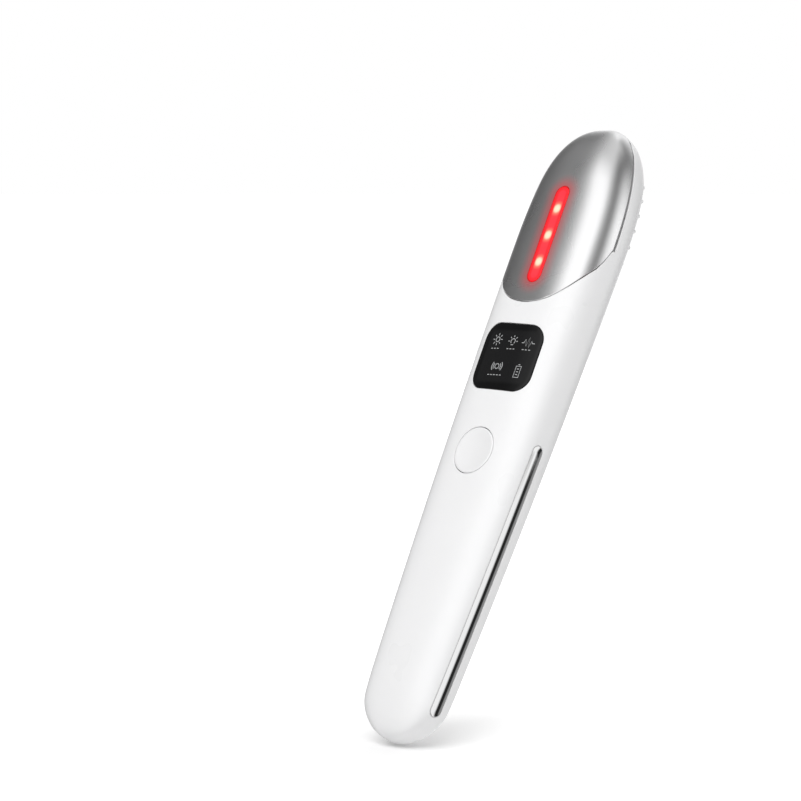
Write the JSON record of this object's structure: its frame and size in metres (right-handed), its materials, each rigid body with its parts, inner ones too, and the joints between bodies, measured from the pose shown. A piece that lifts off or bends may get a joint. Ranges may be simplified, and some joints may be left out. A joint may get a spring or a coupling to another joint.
{
  "type": "heated eye massager wand",
  "caption": "Slim white handheld massager with a silver head cap, red light strip, black display window, round power button, side contact strips and a nubbed heated pad on the back of the head.",
  "frame": {"origin": "centre of the tail tip, at the bottom of the upright wand", "axes": "+Z along the wand from the tail tip to the head tip, -Y out of the display and the power button, +Y out of the massage pad, X across the wand"},
  "size_m": [0.0286, 0.018, 0.156],
  "materials": {
    "white_shell": "gloss",
    "silver_cap": "satin",
    "chrome_strip": "polished",
    "white_pad": "satin",
    "white_cover": "matt",
    "white_button": "gloss",
    "black_window": "gloss",
    "red_lens": "gloss",
    "dark_seal": "matt",
    "white_inner": "matt",
    "circuit_board": "satin",
    "black_parts": "matt",
    "led_lens": "gloss",
    "steel": "brushed",
    "rubber_sleeve": "matt",
    "brass": "satin",
    "polyimide": "satin",
    "battery_foil": "satin",
    "foam": "matt"
  },
  "bodies": {
    "wand": {"housing": "white_shell", "head_cap": "silver_cap", "head_seal": "dark_seal", "light_window": "red_lens", "light_baffle": "white_inner", "led_board": "circuit_board", "red_leds": "led_lens", "head_frame": "white_inner", "frame_screws": "steel", "massage_pad": "white_pad", "heating_film": "polyimide", "temperature_sensor": "black_parts", "motor_sleeve": "rubber_sleeve", "vibration_motor": "steel", "display_window": "black_window", "display_module": "black_parts", "switch_body": "black_parts", "main_board": "circuit_board", "control_chip": "black_parts", "pulse_transformer": "black_parts", "buzzer": "black_parts", "head_ribbon": "polyimide", "chassis": "white_inner", "battery": "battery_foil", "battery_foam": "foam", "battery_tabs": "steel", "charging_socket": "steel", "socket_tongue": "black_parts", "right_strip": "chrome_strip", "left_strip": "chrome_strip", "contact_springs": "brass"},
    "button": {"power_button": "white_button"},
    "plunger": {"switch_plunger": "white_inner"},
    "cover": {"port_cover": "white_cover"},
    "rotor": {"motor_shaft": "steel", "eccentric_weight": "brass"}
  },
  "joints": [
    {"name": "button_press", "type": "slide", "parent": "wand", "child": "button", "axis": [0, 1, 0], "range_m": [0, 0.0004], "stiffness_N_per_m": 2000},
    {"name": "plunger_press", "type": "slide", "parent": "wand", "child": "plunger", "axis": [0, 1, 0], "range_m": [0, 0.0004]},
    {"name": "cover_swing", "type": "hinge", "parent": "wand", "child": "cover", "pos_m": [0, 0.00675, 0.0349], "axis": [-1, 0, 0], "range_deg": [0, 100]},
    {"name": "rotor_spin", "type": "hinge", "parent": "wand", "child": "rotor", "pos_m": [0, 0.0025, 0.116], "axis": [0, 0, 1], "continuous": true}
  ],
  "couplings": [
    {"joint": "plunger_press", "follows": "button_press", "ratio": 1}
  ]
}
